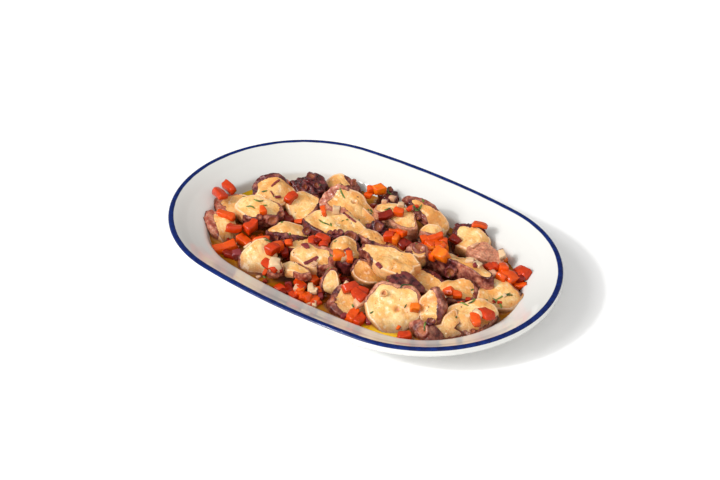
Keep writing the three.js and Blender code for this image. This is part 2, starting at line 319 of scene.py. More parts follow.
# For each slice, by its node's number: half length, half width and thickness in mm; the turn of its length; how
# far its upper face leans; the direction in which the skin shows most, how far in mm it comes over the face and
# how much of it goes all round; dark, from -1 for pale pink skin to 1 for dark purple; tone, from pale flesh to
# 1 for tan. Then what only some have: faceWay if the face leans another way, nudge from the node in mm, ragged
# and lumps for uneven edge and skin, hollow (below 0 a dome), bow and taper of the outline, horns at its edge
# (direction, length, width), curl (direction, lift) and hole (x, y, radius).
slices = {
    1: ((18, 10, 12), -15, 22, (185, 4, 0.05), 0.0, 0.2, dict(faceWay=-20)),
    2: ((15, 12, 13), 5, 10, (200, 3, 0.1), 0.2, 0.35, dict(nudge=(3, 0, 0))),
    3: ((18, 12, 12), 30, 14, (-5, 1.6, 0.05), 0.45, -0.3),
    4: ((18, 14, 15), 38, 28, (165, 2.5, 0.1), 0.7, 0.5),
    5: ((15, 13, 13), 100, 18, (10, 1.2, 0.1), 0.6, 0.0, dict(ragged=0.01)),
    6: ((14, 10, 17), 30, 10, (0, 20, 1.0), 1.0, 0.5, dict(lumps=0.9)),
    7: ((15, 9, 16), 20, 20, (10, 6, 0.1), 0.6, 0.6),
    8: ((23, 13, 13), 15, 14, (215, 5, 0.1), -0.15, 0.5,
        dict(curl=(128, 5), hole=(3, 3, 2.4), ragged=0.05)),
    9: ((9, 6, 16), 0, 0, (0, 20, 1.0), 0.8, 0.5, dict(lumps=0.6)),
    10: ((24, 13, 13), 15, 8, (-75, 1.5, 0.1), 0.9, 0.2, dict(hollow=1.2, ragged=0.05)),
    11: ((18, 12, 16), 0, 6, (-110, 3.5, 0.2), 0.7, 0.6),
    12: ((20, 9, 14), -2, 16, (-60, 1.5, 0.4), -0.5, 0.3),
    13: ((20, 8, 10), -3, 38, (180, 4, 0.15), 0.5, 0.8, dict(faceWay=-35, bow=-2)),
    14: ((15, 12, 17), 20, 20, (150, 2.5, 0.2), 0.8, 0.2),
    15: ((15, 8, 17), 0, 15, (0, 20, 1.0), -0.45, 0.9, dict(ragged=0.03)),
    16: ((29, 7, 15), 2, 8, (-62, 1.2, 0.5), 0.55, 0.5, dict(faceWay=128, bow=-2)),
    17: ((24, 11, 11), 4, 12, (160, 1.2, 0.05), 0.5, 0.4,
        dict(taper=0.35, horns=[(165, 4, 14), (205, 5, 12)], ragged=0.05, nudge=(-2.4, 3.2, 0))),
    18: ((14, 9, 12), 10, 35, (128, 1, 0.1), 0.3, 1.0, dict(hollow=2.5)),
    19: ((9.5, 6.5, 11), 128, 60, (218, 0.8, 0.5), 0.5, -0.3),
    20: ((15, 14, 12), 38, 36, (-100, 0.5, 0.0), 0.5, 0.1, dict(nudge=(5, -1, 3), ragged=0.02)),
    21: ((16, 12, 12), 20, 14, (50, 3, 0.1), 0.1, 0.3, dict(nudge=(2, -1, 0))),
    22: ((16, 12, 14), 5, 10, (0, 2.5, 0.1), 0.8, 0.6),
    23: ((16, 8, 14), 25, 15, (-60, 2, 0.3), 0.7, 0.4),
    24: ((20, 15, 13), 20, 4, (-52, 1, 0.1), 0.5, 0.3),
    25: ((21, 18, 11), 38, 38, (110, 1.5, 0.0), -0.3, -0.1,
        dict(hole=(2, -1, 2.6), horns=[(150, 3.5, 18), (197, 2.5, 18)])),
    26: ((14, 8, 13), 10, 20, (0, 20, 1.0), 0.75, 0.4, dict(nudge=(0, 0, 1.5))),
    27: ((15, 9, 12), 128, 56, (10, 3, 0.25), 0.5, 0.7, dict(faceWay=-80)),
    28: ((13, 7.5, 10), 70, 45, (0, 1, 0.05), 0.3, 0.4, dict(ragged=0.28, lumps=0.5)),
    29: ((19, 15, 11), 60, 28, (-60, 2, 0.1), -0.35, 0.2),
    30: ((18, 14, 12), 25, 14, (128, 0.8, 0.0), 0.2, 0.3, dict(hollow=0.8, ragged=0.015, nudge=(-1, 0, 0))),
    31: ((16, 11, 15), 10, 12, (0, 2, 0.1), 0.5, 0.5),
    32: ((13, 7, 11), 10, 25, (0, 20, 1.0), 0.45, 0.3),
    33: ((17, 12, 13), 20, 25, (215, 3, 0.1), 0.5, 0.3),
    34: ((18, 11, 14), 0, 8, (60, 3, 0.2), 0.7, 0.6),
    35: ((9, 7, 13), 30, 20, (128, 5, 0.5), 0.35, 0.5),
    36: ((20, 13, 16), 15, 6, (-100, 1.5, 0.2), 0.5, 0.6),
    37: ((12, 7, 10), 5, 10, (-60, 1.5, 0.1), 0.5, 0.5),
    38: ((9, 7, 13), 20, 10, (0, 20, 1.0), 1.0, 0.5, dict(lumps=0.9)),
    39: ((8, 6, 9), 20, 20, (-52, 1, 0.1), 0.3, 0.2),
    40: ((11, 5, 8), 10, 12, (20, 1.0, 0.1), 0.2, -0.4, dict(ragged=0.06, nudge=(1, -1, -1))),
    41: ((6, 5.5, 9), 38, 25, (-52, 0.3, 0.0), 0.2, 0.3, dict(nudge=(2, -1, 3))),
}


# How far an outline reaches: three slow waves whose start differs from piece to piece
def swell(direction, seed):
    return (1 + 0.07 * np.cos(2 * direction + seed * 2.4) + 0.06 * np.cos(3 * direction + seed * 1.7)
            + 0.04 * np.cos(5 * direction + seed * 3.1))


# Points in mm and values of one slice about its own middle. Rows run from the middle of the cut face out to
# its edge, round it, down the skin and back under: a point is the inner outline times its share, plus the
# outward way times the edge's radius and its outset, at a height; relief then moves it along its normal
def sliceSurface(look, seed, columns=150):
    halfA, halfB, thick = look["size"]
    half = thick / 2
    around = 2 * np.pi * np.arange(columns) / columns
    circle = np.stack([np.cos(around), np.sin(around), np.zeros(columns)], -1)
    reach = swell(around, seed) * (1 + look.get("ragged", 0.025) * waves(circle, 0.55, seed + 50))
    for way, length, width in look.get("horns", []):
        apart = np.angle(np.exp(1j * (around - math.radians(way - look["turn"]))))
        reach = reach + length / halfA * np.exp(-(apart / math.radians(width)) ** 2)
    rim = circle[:, :2] * np.array([halfA, halfB]) * reach[:, None]
    rim[:, 1] *= 1 + look.get("taper", 0) * rim[:, 0] / halfA
    rim[:, 1] += look.get("bow", 0) * ((rim[:, 0] / halfA) ** 2 - 0.4)
    outward = unitRows(rim)
    edge = min(0.13 * thick, 0.12 * halfB, 1.3)
    inner = rim - outward * edge

    face = np.linspace(0.04, 1, 30) ** 0.8
    bend = np.radians(np.linspace(12, 90, 8))
    wall = np.linspace(half - edge, -half + edge, 12)[1:-1]
    share = np.concatenate([face, np.ones(26), face[::-2]])
    outset = np.concatenate([0 * face, np.sin(bend), np.ones(10), np.sin(bend[::-1]), 0 * face[::-2]])
    drop = edge * (1 - np.cos(bend))
    height = np.concatenate([half + 0 * face, half - drop, wall, -half + drop[::-1], -half + 0 * face[::-2]])
    share, outset, height = share[:, None], outset[:, None], height[:, None]

    bulge = 0.9 * np.clip(1 - (height / half) ** 2, 0, 1)          # the skin swells a little between the cuts
    flat = inner * share[..., None] + outward * (edge * outset + bulge * (share == 1))[..., None]
    points = np.concatenate([flat, np.broadcast_to(height[..., None], (*flat.shape[:2], 1))], -1)
    upper = smooth(height / half * 2)
    points[..., 2] -= 0.24 * thick * (flat[..., 0] / halfA) ** 2
    points[..., 2] -= look.get("hollow", -0.5) * upper * (1 - share ** 2)
    way, lift = look.get("curl", (0, 0))
    way = math.radians(way - look["turn"])
    push = np.clip((flat[..., 0] * math.cos(way) + flat[..., 1] * math.sin(way)) / halfB, 0, 2)
    points[..., 2] += lift * push ** 2 * (0.4 + 0.6 * upper)
    points[..., 2] += 0.08 * thick * waves(points * [1, 1, 0.3], 16, seed + 7)

    # skin: all over the wall on its own side, and a little way in over the face
    way, width, base = look["skin"]
    facing = np.cos(around - math.radians(way - look["turn"]))
    covered = np.clip(base + (1 - base) * (facing + 0.25), 0, 1)
    inward = (1 - share) * np.linalg.norm(inner, axis=1) + edge * (1 - outset) * 0.6
    wander = 0.3 * waves(points, 7, seed + 9) + 0.3 * waves(points, 1.9, seed + 10)
    skin = smooth((width * covered * 1.4 - inward + wander * min(1, width / 2)) / 1.1 + 0.5)
    skin = skin * smooth((covered - 0.08) * 4)

    normals = gridNormals(points)
    relief = 0.20 * waves(points, 8, seed + 1) + 0.07 * waves(points, 3.2, seed + 2)
    relief += skin * (0.14 * waves(points, 2.6, seed + 3)
                      + look.get("lumps", 0.2) * waves(points, 4.4, seed + 4))
    # pits: where a hole sinks into the face; its colour below is partly painted shade
    pits = np.zeros_like(skin)
    if "hole" in look:
        x, y, radius = look["hole"]
        away = np.hypot(points[..., 0] - x, points[..., 1] - y) / radius
        relief += upper * (0.5 * np.exp(-((away - 1.2) / 0.4) ** 2) - 1.6 * np.exp(-(away / 0.7) ** 2))
        pits = np.maximum(pits, upper * np.exp(-(away / 0.75) ** 2))
    points = points + normals * relief[..., None]
    values = {"skin": skin, "pit": pits, "inward": np.broadcast_to(inward, skin.shape) * mm}
    return points, values


# Turns and leans a piece about its middle and puts it where its node's box is: the same middle seen from
# above, the same top
def settle(points, node, look):
    turn = Matrix.Rotation(math.radians(look["turn"]), 3, "Z")
    axis = direction(look.get("faceWay", faceWay) + 90)
    lean = Matrix.Rotation(math.radians(look["lean"]), 3, axis)
    points = points @ np.array(lean @ turn).T * mm
    flat = points.reshape(-1, 3)
    nudge = np.array(look.get("nudge", (0, 0, 0))) * mm
    shift = np.array(nodeMiddle(node)) - (flat.min(0) + flat.max(0)) / 2
    shift[2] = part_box(node)[1].z - flat[:, 2].max()
    return abovePlatter(points + shift + nudge)


# Painted shade: the flesh and skin are painted darker towards the oil from this height down, for the shade in
# the gaps between the pieces, and partly for oil soaked into their lower sides
shadeTop = 0.0175


def octopusFinish():
    finish = Finish("octopusFlesh", Coat_Weight=0.3, Coat_Roughness=0.04, IOR=1.4, Specular_IOR_Level=0.35,
                    Subsurface_Weight=0.15, Subsurface_Radius=(1.0, 0.4, 0.15), Subsurface_Scale=0.003)
    skin, ring, pit = finish.value("skin"), finish.value("ring"), finish.value("pit")
    dark, tone, inward = finish.value("dark"), finish.value("tone"), finish.value("inward")
    broad, middle, fine = finish.noise(0.010, 3), finish.noise(0.0042, 3), finish.noise(0.0013, 3)
    pale = finish.blend(broad.over(0.36, 0.62), (0.84, 0.435, 0.125), (0.90, 0.61, 0.265))
    tan = finish.blend(broad.over(0.36, 0.62), (0.59, 0.205, 0.034), (0.78, 0.37, 0.098))
    rimward = 1 - (inward + (middle - 0.5) * 0.003).over(0.0003, 0.0036)
    ringed = (inward + (broad - 0.5) * 0.004).line(0.0052, 0.0012)
    spotted = (1 - finish.cells(0.0046).over(0.08, 0.16)) * fine.over(0.42, 0.56)
    flesh = finish.layer(finish.blend(tone, pale, tan), (middle.over(0.52, 0.70) * 0.5, (0.76, 0.28, 0.05)),
                         # pale cream patches at random: partly the flesh's own paler tone, partly painted
                         # highlights
                         ((1 - middle.over(0.30, 0.46)) * 0.6, (0.94, 0.78, 0.52)),
                         (rimward * 0.5, (0.72, 0.29, 0.105)), (ringed * 0.35, (0.80, 0.40, 0.10)),
                         # painted highlight along the cut edge, for light caught by the thin edge and shining
                         # through it
                         (inward.line(0.0006, 0.0007) * 0.45, (0.95, 0.80, 0.56)),
                         (spotted * 0.8, (0.66, 0.15, 0.008)))
    pink = finish.blend(middle.over(0.35, 0.66), (0.40, 0.075, 0.040), (0.76, 0.33, 0.20))
    pink = finish.blend((0 - dark).over(0.0, 0.8) * 0.75, pink, (0.83, 0.40, 0.22))
    purple = finish.blend(middle.over(0.35, 0.66), (0.026, 0.003, 0.004), (0.20, 0.032, 0.028))
    hide = finish.blend((dark + (broad - 0.5) * 1.6).over(0.15, 0.75), pink, purple)
    grade = skin + (fine - 0.5) * 0.4
    colour = finish.layer(finish.blend(grade.over(0.35, 0.6), flesh, hide),
                          (grade.line(0.72, 0.42) * 0.85, (0.060, 0.007, 0.012)),
                          # the cups' own dark rims; the hollows of cups and holes in a darker pink-brown, partly
                          # their own colour and partly painted shade
                          (ring * 0.75, (0.13, 0.018, 0.024)), (pit * 0.85, (0.50, 0.15, 0.05)),
                          # painted shade low down on each piece, near black-brown, for the shade in the gaps
                          (finish.value("low") * 0.85, (0.10, 0.016, 0.004)))
    height = middle * 0.7 + fine * 0.5 + skin * 0.2
    return finish.show(Base_Color=colour, Roughness=fine * 0.2 + 0.04,
                       Normal=finish.bump(height, 0.0016, 0.75))


def makeOctopus(finish):
    made = {}
    for number, (size, turn, lean, skin, dark, tone, *more) in slices.items():
        node = nodeName(number)
        look = dict(size=size, turn=turn, lean=lean, skin=skin, **(more[0] if more else {}))
        points, values = sliceSurface(look, number)
        points = settle(points, node, look)
        # low: how far below shadeTop a point lies, which sets the painted shade in the gaps
        values["low"] = smooth((shadeTop - points[..., 2]) / 0.011)
        values = {key: withPoles(numbers[..., None]) for key, numbers in values.items()}
        count = points.shape[0] * points.shape[1] + 2
        values["dark"], values["tone"] = np.full(count, dark), np.full(count, tone)
        made[node] = addPiece(node.replace("octopus", "slice"), withPoles(points),
                              closedFaces(*points.shape[:2]), finish, values, [node])
    print("octopus made:", len(made), "pieces")
    return made


def blockFaces(count, columns=16, rows=7):
    one = closedFaces(rows, columns)
    size = rows * columns + 2
    return [[corner + size * k for corner in face] for k in range(count) for face in one]


# Suckers and curled tips, by the number of the slice that they grow on: place from its node's middle in mm,
# radius in mm, the way it faces seen from above, how far it faces up, and how dark it is, below 0 for bare flesh
cups = [
    (3, [(15, -3, 0, 4.6, -40, 45, 0.25), (9, -9, 1, 2.6, -60, 20, 0.7), (19, 5, 2, 3.0, -30, 50, 0.7)]),
    (10, [(20, -6, 2, 5.2, -50, 40, 0.6), (5, -11, 2, 2.6, -70, 30, 1.0), (10, -11, 1, 2.6, -60, 20, 1.0),
        (11, -7, 4, 2.4, -40, 35, 1.0), (8, -9, 5, 2.2, -50, 60, 1.0), (-14, -15, 0, 3.6, -60, 45, 1.0)]),
    (23, [(-2, -10, 2, 2.6, -90, 30, 0.85), (3, -11, 0, 2.8, -70, 20, 0.85), (8, -8, 1, 2.8, -50, 40, 0.7),
        (11, -5, 0, 2.3, -40, 20, 0.85)]), (7, [(9, 6, 5, 3.0, 0, 20, 0.5)]),
    (32, [(1, -5, 4, 5.0, -60, 40, 0.25), (2, 4, 7, 3.4, -50, 50, 1.0)]),
    (38, [(3, -2, 6, 4.5, -60, 50, 1.0)]),
    (16, [(-20, -3, 6, 4.2, -100, 30, 0.6), (-4, -8, 1, 4.8, -70, 10, 0.6)]),
    (6, [(1, 1, 9, 4.0, -60, 60, 1.0), (2, -7, 5, 3.0, -80, 30, 1.0), (8, -2, 4, 3.0, -40, 30, 1.0)]),
    (35, [(2, -2, 5, 5.0, -30, 40, 0.35)]),
    (9, [(1, -4, 7, 2.6, -50, 40, 1.0), (0, 3, 8, 2.4, -20, 50, 1.0)]),
    (25, [(-6, -3, 10, 3.0, -60, 60, -0.3)]),
    (14, [(-11, 2, 6, 2.0, 160, 50, 0.9), (-9, 6, 7, 2.0, 140, 60, 0.9), (-6, 9, 7, 2.0, 120, 60, 0.9)]),
    (4, [(-14, 6, 6, 2.6, 170, 40, 0.8)]),
    (13, [(-5, -9, 8, 2.8, 200, 20, 0.4), (-3, -12, 4, 2.8, -140, 10, 0.4),
        (0, -12, 1, 2.6, -110, 10, 0.4)]),
    (29, [(14, -7, -2, 2.0, -40, 20, 0.1), (10, -12, -1, 2.0, -60, 20, 0.1)]),
    (33, [(-8, -9, 3, 2.4, -120, 30, 0.5)]),
]
# the section of a cup from the middle of its hollow over its rim and down its outside, as shares of its radius
cupSection = [(0.08, 0.06), (0.24, 0.09), (0.42, 0.19), (0.55, 0.34), (0.67, 0.47), (0.79, 0.52), (0.92, 0.47),
              (1.0, 0.33), (1.0, 0.15), (0.92, -0.15), (0.84, -0.45), (0.8, -0.75)]


# The cup's section turned about an axis between the way it faces and the slice's normal, rippled round its rim,
# at the slice's nearest point
def makeCups(made, finish):
    rng = np.random.default_rng(8)
    columns = 28
    around = 2 * np.pi * np.arange(columns) / columns
    section = np.array(cupSection)
    trees = {}
    points, values = [], {key: [] for key in ("skin", "ring", "pit", "inward", "low", "dark", "tone")}
    for number, (x, y, z, radius, way, rise, dark) in [(group, row) for group, rows in cups for row in rows]:
        node = nodeName(number)
        trees.setdefault(node, surfaceTree([made[node]]))
        place, normal, _, _ = trees[node].find_nearest(nodeMiddle(node) + Vector((x, y, z)) * mm)
        axis = (direction(way, rise) * 0.65 + normal * 0.35).normalized()
        frameAxes = np.array(axis.to_track_quat("Z", "Y").to_matrix())
        ripple = (1 + 0.1 * np.sin(2 * around + rng.uniform(0, 6))
                  + 0.06 * np.sin(3 * around + rng.uniform(0, 6)))
        cup = np.stack([section[:, :1] * np.cos(around) * ripple, section[:, :1] * np.sin(around) * ripple,
                        section[:, 1:] * (0.9 + 0.2 * ripple)], -1) * radius
        cup += 0.08 * radius * waves(cup + rng.uniform(0, 90, 3), 0.9 * radius, 31)[..., None]
        cup = cup @ frameAxes.T * mm + np.array(place) + 0.1 * radius * mm * np.array(axis)
        points.append(withPoles(abovePlatter(cup)))
        across = withPoles(section[:, :1] * np.ones(columns))
        inside = np.arange(len(across)) < 1 + 5 * columns
        values["ring"].append(np.exp(-((across - 0.85) / 0.16) ** 2) * (0.4 + 0.6 * max(dark, 0)))
        # the cup's hollow, coloured partly as its own and partly as painted shade
        values["pit"].append(np.where(inside, smooth((0.72 - across) * 4), 0) * (1 - 0.5 * max(dark, 0)))
        # the same painted shade low down on the cups
        values["low"].append(smooth((shadeTop - points[-1][:, 2]) / 0.013))
        for key, value in (("skin", dark >= 0), ("inward", 0.003), ("dark", dark), ("tone", 0.5)):
            values[key].append(np.full(len(across), value))
    faces = blockFaces(len(points), columns, len(section))
    addPiece("suckerCups", np.concatenate(points), faces, finish,
             {key: np.concatenate(parts) for key, parts in values.items()})
    print("suckers made:", len(points))


oil = {
    "columns": 480,
    "edgeInset": 0.0309,
    "sunk": 0.0010,           # of the level below the node's top, which the lips rise to
    "lip": 0.0009, "lipWidth": 0.0008,
    "meniscus": 0.0011,
    "cell": 0.0006, "mapCorner": (0.17, 0.11),
    "spreads": 9, "fall": 0.78,
    # thin yellow pools at the front and far left, browner towards the right: x, y, reach, change of depth
    "pools": [(0.070, -0.062, 0.022, -1.3), (-0.112, 0.032, 0.03, -1.2), (-0.115, -0.02, 0.018, -0.5),
              (0.11, -0.03, 0.05, 0.35), (-0.02, -0.06, 0.035, 0.3)],
}


# How near a piece stands at the oil's level, 1 at its skin and falling by a fifth for each cell away: a map
# of cells where the pieces' points are, spread outward a few times
def pieceNearness(pieces, level):
    cell, corner = oil["cell"], oil["mapCorner"]
    size = tuple(int(2 * reach / cell) for reach in corner)
    near = np.zeros(size)
    for piece in pieces:
        places = np.empty(len(piece.data.vertices) * 3)
        piece.data.vertices.foreach_get("co", places)
        places = places.reshape(-1, 3)
        places = places[np.abs(places[:, 2] - level) < 0.0013]
        spot = ((places[:, :2] + corner) / cell).astype(int)
        near[spot[:, 0].clip(0, size[0] - 1), spot[:, 1].clip(0, size[1] - 1)] = 1
    for _ in range(oil["spreads"]):
        spread = np.maximum(np.maximum(np.roll(near, 1, 0), np.roll(near, -1, 0)),
                            np.maximum(np.roll(near, 1, 1), np.roll(near, -1, 1)))
        near = np.maximum(near, oil["fall"] * spread)
    return near


# Ovals from the middle out to the platter's wall, at the oil's level plus a lip that dies away from the wall, a
# meniscus where a piece stands in it and a slow ripple; the last row drops to close it below
def makeOil(pieces):
    low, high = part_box("oil")
    edge = oil["edgeInset"]
    insets = np.concatenate([np.linspace(edge, 0.034, 10), np.linspace(0.0345, 0.10, 110)])[::-1]
    rows = ovalPoints(insets, oil["columns"])
    near = pieceNearness(pieces, high.z)
    spot = (rows + oil["mapCorner"]) / oil["cell"]
    first = spot.astype(int)
    part = spot - first
    closeness = 0
    for stepX, stepY in ((0, 0), (1, 0), (0, 1), (1, 1)):
        share = np.abs(1 - stepX - part[..., 0]) * np.abs(1 - stepY - part[..., 1])
        closeness = closeness + near[first[..., 0] + stepX, first[..., 1] + stepY] * share
    lip = np.exp(-(insets - edge) / oil["lipWidth"])[:, None]
    level = high.z - oil["sunk"] + oil["lip"] * lip + oil["meniscus"] * closeness ** 2
    points = np.concatenate([rows, level[..., None]], -1)
    points[..., 2] += 0.0002 * waves(points, 0.03, 3)
    rim = points[-1:] * np.array([0.98, 0.98, 0.0]) + np.array([0.0, 0.0, low.z + 0.0004])
    points = np.concatenate([points, rim])
    # oil depth, thin at the wall and deeper inward, plus painted shade: darker where pieces stand close, for the
    # shade in the gaps between them
    oilDepthAndShade = 0.2 + smooth((insets[:, None] + 0 * closeness - 0.031) / 0.02) * 0.55 + 0.45 * closeness
    for x, y, reach, change in oil["pools"]:
        oilDepthAndShade = oilDepthAndShade + change * np.exp(-((rows[..., 0] - x) ** 2 + (rows[..., 1] - y) ** 2) / reach ** 2)
    oilDepthAndShade = np.concatenate([oilDepthAndShade, oilDepthAndShade[-1:]])
    climb = np.concatenate([closeness, closeness[-1:]])
    finish = Finish("seasonedOil", IOR=1.47, Specular_IOR_Level=0.12, Coat_Roughness=0.03)
    thick = finish.value("oilDepthAndShade") + (finish.noise(0.02, 3) - 0.5) * 0.5
    amber = finish.blend(thick.over(-0.55, 0.15), (0.80, 0.47, 0.006), (0.36, 0.125, 0.004))
    # the deepest oil, and the painted shade beside the pieces, go near black-brown
    amber = finish.blend(thick.over(0.4, 1.1), amber, (0.10, 0.016, 0.001))
    bits = finish.noise(0.0035, 3).over(0.58, 0.7) * 0.45
    finish.show(Base_Color=finish.blend(bits, amber, (0.34, 0.05, 0.002)),
                Roughness=finish.noise(0.01) * 0.05 + 0.03,
                Coat_Weight=finish.value("meniscus").over(0.35, 0.75))
    addPiece("oilSurface", withPoles(points), closedFaces(*points.shape[:2]), finish.material,
             {"oilDepthAndShade": withPoles(oilDepthAndShade[..., None]), "meniscus": withPoles(climb[..., None])}, ["oil"])
    print("oil made")


# Kinds of dice: the piece that they are part of, and the tone that picks their colour
# darkRed: partly the deep red of some pepper pieces, partly painted shade for pieces lying in shade under others
# and low in the oil
darkRed, red, scarlet = ("redPepper", 0.0), ("redPepper", 0.45), ("redPepper", 0.85)
orange = ("orangePepper", 0.8)
onion, pink, purple = ("onionBits", 0.1), ("onionBits", 0.45), ("onionBits", 1.0)
# Diced vegetables, by the node that each lies on: kind, place from the node's middle along and across the
# platter, length, width and height in mm, and the turn of its length
dice = {
    "pepper_01": [(red, 1, 0, 17, 6.5, 6, 155)],
    "pepper_02": [(red, -1, 1, 14, 6.5, 6, 166)],
    "pepper_03": [(scarlet, 0, -1, 15, 6, 5, 15)],
    "pepper_04": [(red, 1, -1, 12, 7, 6, 31)],
    "pepper_05": [(red, 0, 0, 11, 7, 7, 80)],
    "pepper_06": [(scarlet, 0, 0, 19, 9, 8, 55), (darkRed, 6, -3, 8, 5, 4, 11)],
    "pepper_07": [(scarlet, 0, 0, 12, 8, 7, 64), (red, 1, -6, 10, 8, 6, 80), (darkRed, 6, 2, 9, 6, 5, 142)],
    "pepper_08": [(scarlet, -3, -3, 6, 5, 6, 38), (orange, 2, 1, 9, 7, 7, 59),
        (scarlet, -2, -8, 6, 4, 4, 25)],
    "pepper_09": [(red, -5, -4, 9, 5, 5, 135), (red, 1, 1, 11, 5, 6, 10), (red, 5, -3, 7, 5, 5, 38),
        (darkRed, 0, -3, 7, 4, 4, 80)],
    "pepper_10": [(scarlet, -3, 2, 8, 4, 4, 48), (red, -3, -4, 8, 7, 7, 25), (orange, 3, -3, 9, 5, 6, 108),
        (scarlet, 3, 3, 8, 5, 5, 179), (darkRed, 8, -2, 9, 7, 6, 160)],
    "pepper_11": [(scarlet, 0, 3, 13, 5, 5, 56), (scarlet, -6, -2, 7, 5, 5, 140),
        (scarlet, 0, -4, 8, 6, 5, 7), (orange, 8, 0, 11, 8, 9, 65), (orange, 3, -7, 7, 6, 5, 48),
        (scarlet, 5, 7, 7, 5, 5, 30), (scarlet, 6, -1, 13, 6, 6, 172), (red, -2, -7, 9, 6, 6, 153)],
    "pepper_12": [(darkRed, -3, -13, 12, 6, 5, 55), (scarlet, 3, -5, 8, 6, 6, 26),
        (onion, -1, 4, 6, 4, 4, 38)],
    "pepper_13": [(red, -4, 0, 7, 6, 6, 48), (scarlet, 2, 3, 7, 7, 6, 38), (scarlet, 6, -3, 12, 8, 7, 93),
        (pink, -1, -6, 6, 6, 6, 53), (red, -9, -3, 7, 5, 4, 47), (scarlet, 9, 0, 13, 9, 7, 174),
        (red, -6, -3, 8, 6, 6, 160)],
    "pepper_14": [(red, -2, 3, 12, 8, 7, 150), (darkRed, 1, -3, 9, 7, 7, 28), (scarlet, 4, -6, 11, 5, 5, 24),
        (red, 0, 4, 12, 9, 7, 171)],
    "pepper_15": [(red, 2, 3, 12, 8, 6, 159), (scarlet, -1, -5, 11, 7, 6, 134),
        (onion, -2, -1, 9, 4, 4, 177)],
    "pepper_16": [(scarlet, -2, -2, 13, 7, 7, 99), (red, 4, -3, 11, 8, 7, 91), (red, -7, 2, 6, 5, 4, 38),
        (purple, -8, -4, 8, 6, 5, 56), (purple, 9, 2, 9, 4, 5, 127)],
    "pepper_17": [(scarlet, -6, 4, 12, 6, 4, 170), (purple, -13, -1, 8, 5, 5, 142),
        (pink, -3, -1, 8, 5, 4, 27), (onion, 3, 5, 9, 5, 4, 132), (scarlet, 0, -5, 6, 5, 4, 2),
        (scarlet, 5, -5, 8, 7, 6, 38), (scarlet, 12, -2, 11, 7, 7, 122), (onion, 7, 4, 6, 5, 4, 24),
        (purple, 12, 5, 8, 4, 4, 132), (scarlet, 8, 8, 7, 6, 5, 50), (onion, 15, -6, 6, 3, 3, 123),
        (red, -5, 2, 11, 7, 6, 159), (red, -3, -8, 8, 6, 5, 156), (orange, -2, -2, 6, 5, 4, 159),
        (scarlet, 6, -4, 10, 6, 6, 151), (red, 12, -2, 11, 7, 6, 152), (darkRed, -11, -4, 9, 6, 5, 153)],
    4: [(purple, 3, 2, 9, 1.6, 1, 74), (purple, 6, -6, 5.5, 1, 1, 153), (purple, 11, -5, 5, 2, 1.5, 54),
        (scarlet, 4, 16, 6, 5, 5, 52)],
    5: [(red, -9, -4, 11, 6, 6, 83), (scarlet, 8, -14, 9, 4, 3, 38), (darkRed, -3, -15, 12, 7, 6, 147)],
    9: [(pink, 0, -6, 4, 4, 4, 57), (pink, 7, -3, 6, 4, 4, 25)],
    10: [(scarlet, -12, 2, 8, 4, 5, 132), (onion, -5, 9, 6, 5, 6, 38), (purple, 8, 11, 9, 1.6, 1.2, 170),
        (purple, 2, 12, 9, 1.4, 1.2, 160)],
    12: [(pink, -13, 2, 4.5, 3, 3, 38)],
    13: [(red, -6, -9, 9, 3.5, 3, 54)],
    14: [(scarlet, 4, 9, 12, 7, 3, 38), (darkRed, -5, -10, 9, 6, 5, 173)],
    15: [(pink, -8, -1, 7, 3, 2, 81), (orange, 6, 12, 15, 6, 5, 169), (onion, 10, 7, 9, 4, 3, 12),
        (onion, 14, 3, 8, 5, 5, 133)],
    16: [(onion, 7, 1, 7, 4, 2.5, 38), (onion, 13, 2, 7, 5, 3, 172), (purple, 13, -1, 4, 3, 3, 149),
        (orange, -15, -5, 12, 9, 8, 172)],
    17: [(purple, 0, -10, 5, 3, 2, 163)],
    20: [(purple, -10, -8, 8, 6, 9, 40), (scarlet, -3, 11, 13, 7, 5, 43), (onion, -6, -1, 7, 6, 1.5, 50)],
    21: [(purple, 6, -9, 13, 2.6, 1.2, 77), (purple, 9, -8, 7, 1.5, 1, 110), (pink, 10, -10, 6, 4, 1.5, 100),
        (purple, -5, -1, 7, 4, 2, 155)],
    22: [(orange, 2, -11, 9, 8, 7, 46), (purple, 3, -3, 6, 4, 1.8, 64), (purple, 5, -5, 5, 4, 3, 169)],
    24: [(scarlet, -8, -12, 6, 5, 5, 38)],
    25: [(orange, 16, 5, 7, 6, 6, 38)],
    31: [(scarlet, -1, -9, 7, 6, 5, 38), (scarlet, 6, -8, 7, 6, 5, 26)],
    33: [(red, -3, 5, 12, 7, 5, 63), (red, 6, 8, 9, 6, 4, 20), (onion, -8, 8, 6, 4, 4, 63),
        (pink, 10, -1, 9, 7, 5, 71), (red, 7, 2, 13, 8, 6, 167)],
    36: [(darkRed, 4, 7, 9, 6, 5, 173)],
    41: [(onion, 4, -4, 9, 9, 8, 38)],
    40: [(darkRed, -8, -11, 9, 5, 4, 20)],
    "oil": [(darkRed, -81, -59, 9, 5, 4, 11), (orange, -85, -15, 8, 4, 4, 130),
        (scarlet, 5, -22, 10, 5, 5, 136), (onion, 1, -24, 7, 6, 5, 70), (darkRed, 8, -32, 9, 5, 4, 155),
        (red, -36, -65, 15, 7, 5, 172), (darkRed, -3, -73, 9, 5, 3, 4), (darkRed, -21, -70, 9, 6, 3, 22),
        (red, 9, -74, 5, 3, 3, 173), (red, 84, -60, 10, 7, 6, 45), (darkRed, 93, -62, 5, 4, 3, 38),
        (darkRed, -77, 4, 10, 8, 7, 174), (scarlet, -83, -39, 12, 7, 6, 2), (scarlet, -84, -15, 8, 4, 5, 147),
        (scarlet, -10, -47, 9, 7, 6, 173), (red, -24, -69, 8, 7, 4, 175), (scarlet, 51, 17, 11, 7, 6, 172)],
}
orangeNodes = ["pepper_08", "pepper_10", "pepper_11"]
orangeTone = 0.8      # added to an orange piece's tone, past the reds
